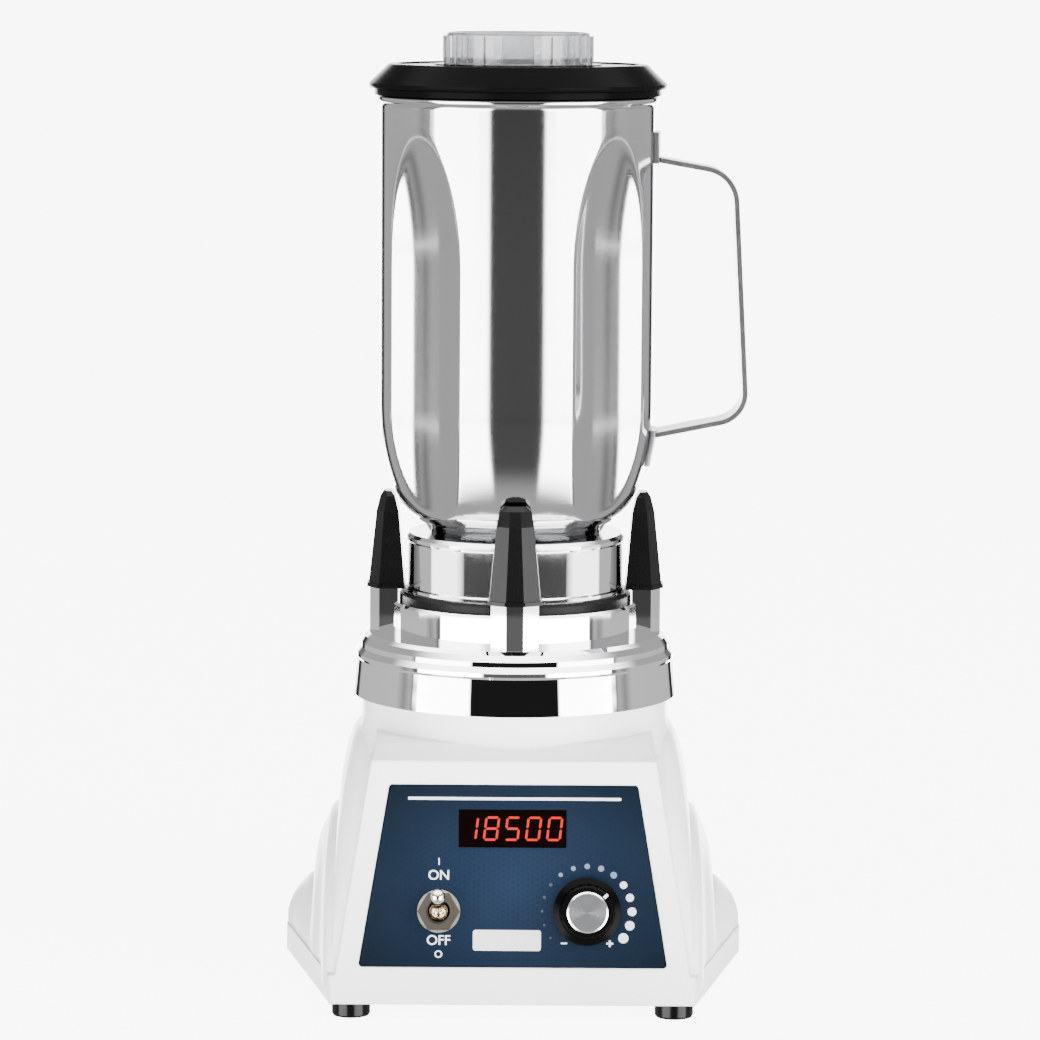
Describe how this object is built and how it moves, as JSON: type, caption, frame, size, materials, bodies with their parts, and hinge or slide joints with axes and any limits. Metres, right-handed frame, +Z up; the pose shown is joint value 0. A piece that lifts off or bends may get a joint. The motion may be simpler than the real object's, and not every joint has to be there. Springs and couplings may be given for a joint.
{
  "type": "laboratory blender",
  "caption": "Laboratory blender: fluted steel jar with lift-off lid and turning blades on a posted drive collar, over a motor housing with display, power toggle and speed dial.",
  "frame": {"origin": "on the bench, under the common axis of the motor, the drive and the jar", "axes": "+Z up; -Y towards the control panel at the front; +X towards the jar's handle"},
  "size_m": [0.1852, 0.2121, 0.38],
  "materials": {
    "housing_white": "moulded, semi-gloss",
    "panel_blue": "printed overlay, satin",
    "window_smoke": "smoked clear window, gloss",
    "display_black": "gloss",
    "circuit_board": "solder mask",
    "black_plastic": "moulded, satin",
    "white_plastic": "gloss",
    "black_rubber": "moulded, satin",
    "chrome": "polished",
    "jar_steel": "finely brushed around the axis",
    "steel": "zinc plated",
    "hard_steel": "ground",
    "laminations": "varnished laminations",
    "copper": "enamelled copper wire",
    "commutator_copper": "turned copper",
    "aluminium": "die-cast, satin",
    "brass": "satin",
    "carbon": "pressed carbon",
    "seal_white": "low-friction plastic, matt",
    "clear_cup": "clear moulded plastic",
    "magnet": "bonded magnet"
  },
  "bodies": {
    "base": {"base_housing": "housing_white", "base_plate": "steel", "feet": "black_rubber", "base_screws": "steel", "collar": "chrome", "collar_screws": "steel", "post_caps": "black_rubber", "jar_seat_pad": "black_rubber", "control_panel": "panel_blue", "display_window": "window_smoke", "led_display": "display_black", "display_board": "circuit_board", "toggle_body": "black_plastic", "toggle_washer": "steel", "toggle_nut": "chrome", "potentiometer": "black_plastic", "pot_nut": "steel", "top_bracket": "aluminium", "bottom_bracket": "aluminium", "motor_bearings": "hard_steel", "stator_core": "laminations", "field_coils": "copper", "motor_bolts": "steel", "brush_holders": "brass", "brushes": "carbon", "brush_springs": "steel", "vibration_mounts": "black_rubber", "speed_sensor": "black_plastic", "power_inlet": "black_plastic", "inlet_pins": "brass", "small_screws": "steel", "control_board": "circuit_board", "board_heatsink": "aluminium"},
    "rotor": {"motor_shaft": "hard_steel", "tach_magnet": "magnet", "armature_core": "laminations", "armature_windings": "copper", "commutator": "commutator_copper", "cooling_fan": "black_plastic", "drive_coupling": "hard_steel"},
    "jar": {"jar_body": "jar_steel", "jar_base": "chrome", "jar_handle": "jar_steel", "jar_gasket": "black_rubber", "blade_housing": "hard_steel", "jar_nut": "steel", "blade_bushings": "brass", "shaft_seal": "seal_white"},
    "blades": {"driven_coupling": "black_rubber", "blade_shaft": "hard_steel", "lower_blades": "hard_steel", "upper_blades": "hard_steel", "blade_nut": "hard_steel"},
    "lid": {"lid": "black_rubber"},
    "cap": {"lid_cap": "clear_cup"},
    "toggle": {"toggle_lever": "chrome"},
    "knob": {"speed_knob": "black_plastic", "knob_cap": "aluminium", "knob_pointer": "white_plastic", "pot_shaft": "aluminium"}
  },
  "joints": [
    {"name": "motor_spin", "type": "hinge", "parent": "base", "child": "rotor", "pos_m": [0, 0, 0.06], "axis": [0, 0, 1], "continuous": true},
    {"name": "jar_lift", "type": "slide", "parent": "base", "child": "jar", "axis": [0, 0, 1], "range_m": [0, 0.12]},
    {"name": "blade_spin", "type": "hinge", "parent": "jar", "child": "blades", "pos_m": [0, 0, 0.18], "axis": [0, 0, 1], "continuous": true},
    {"name": "lid_lift", "type": "slide", "parent": "jar", "child": "lid", "axis": [0, 0, 1], "range_m": [0, 0.06]},
    {"name": "cap_lift", "type": "slide", "parent": "lid", "child": "cap", "axis": [0, 0, 1], "range_m": [0, 0.04]},
    {"name": "power_toggle", "type": "hinge", "parent": "base", "child": "toggle", "pos_m": [-0.0289, -0.08161, 0.04141], "axis": [1, 0, 0], "range_deg": [0, 30]},
    {"name": "speed_dial", "type": "hinge", "parent": "base", "child": "knob", "pos_m": [0.0288, -0.08256, 0.0418], "axis": [0, 0.9827, -0.1851], "range_deg": [-198, 102]}
  ],
  "couplings": [
    {"joint": "blade_spin", "follows": "motor_spin", "ratio": 1}
  ]
}
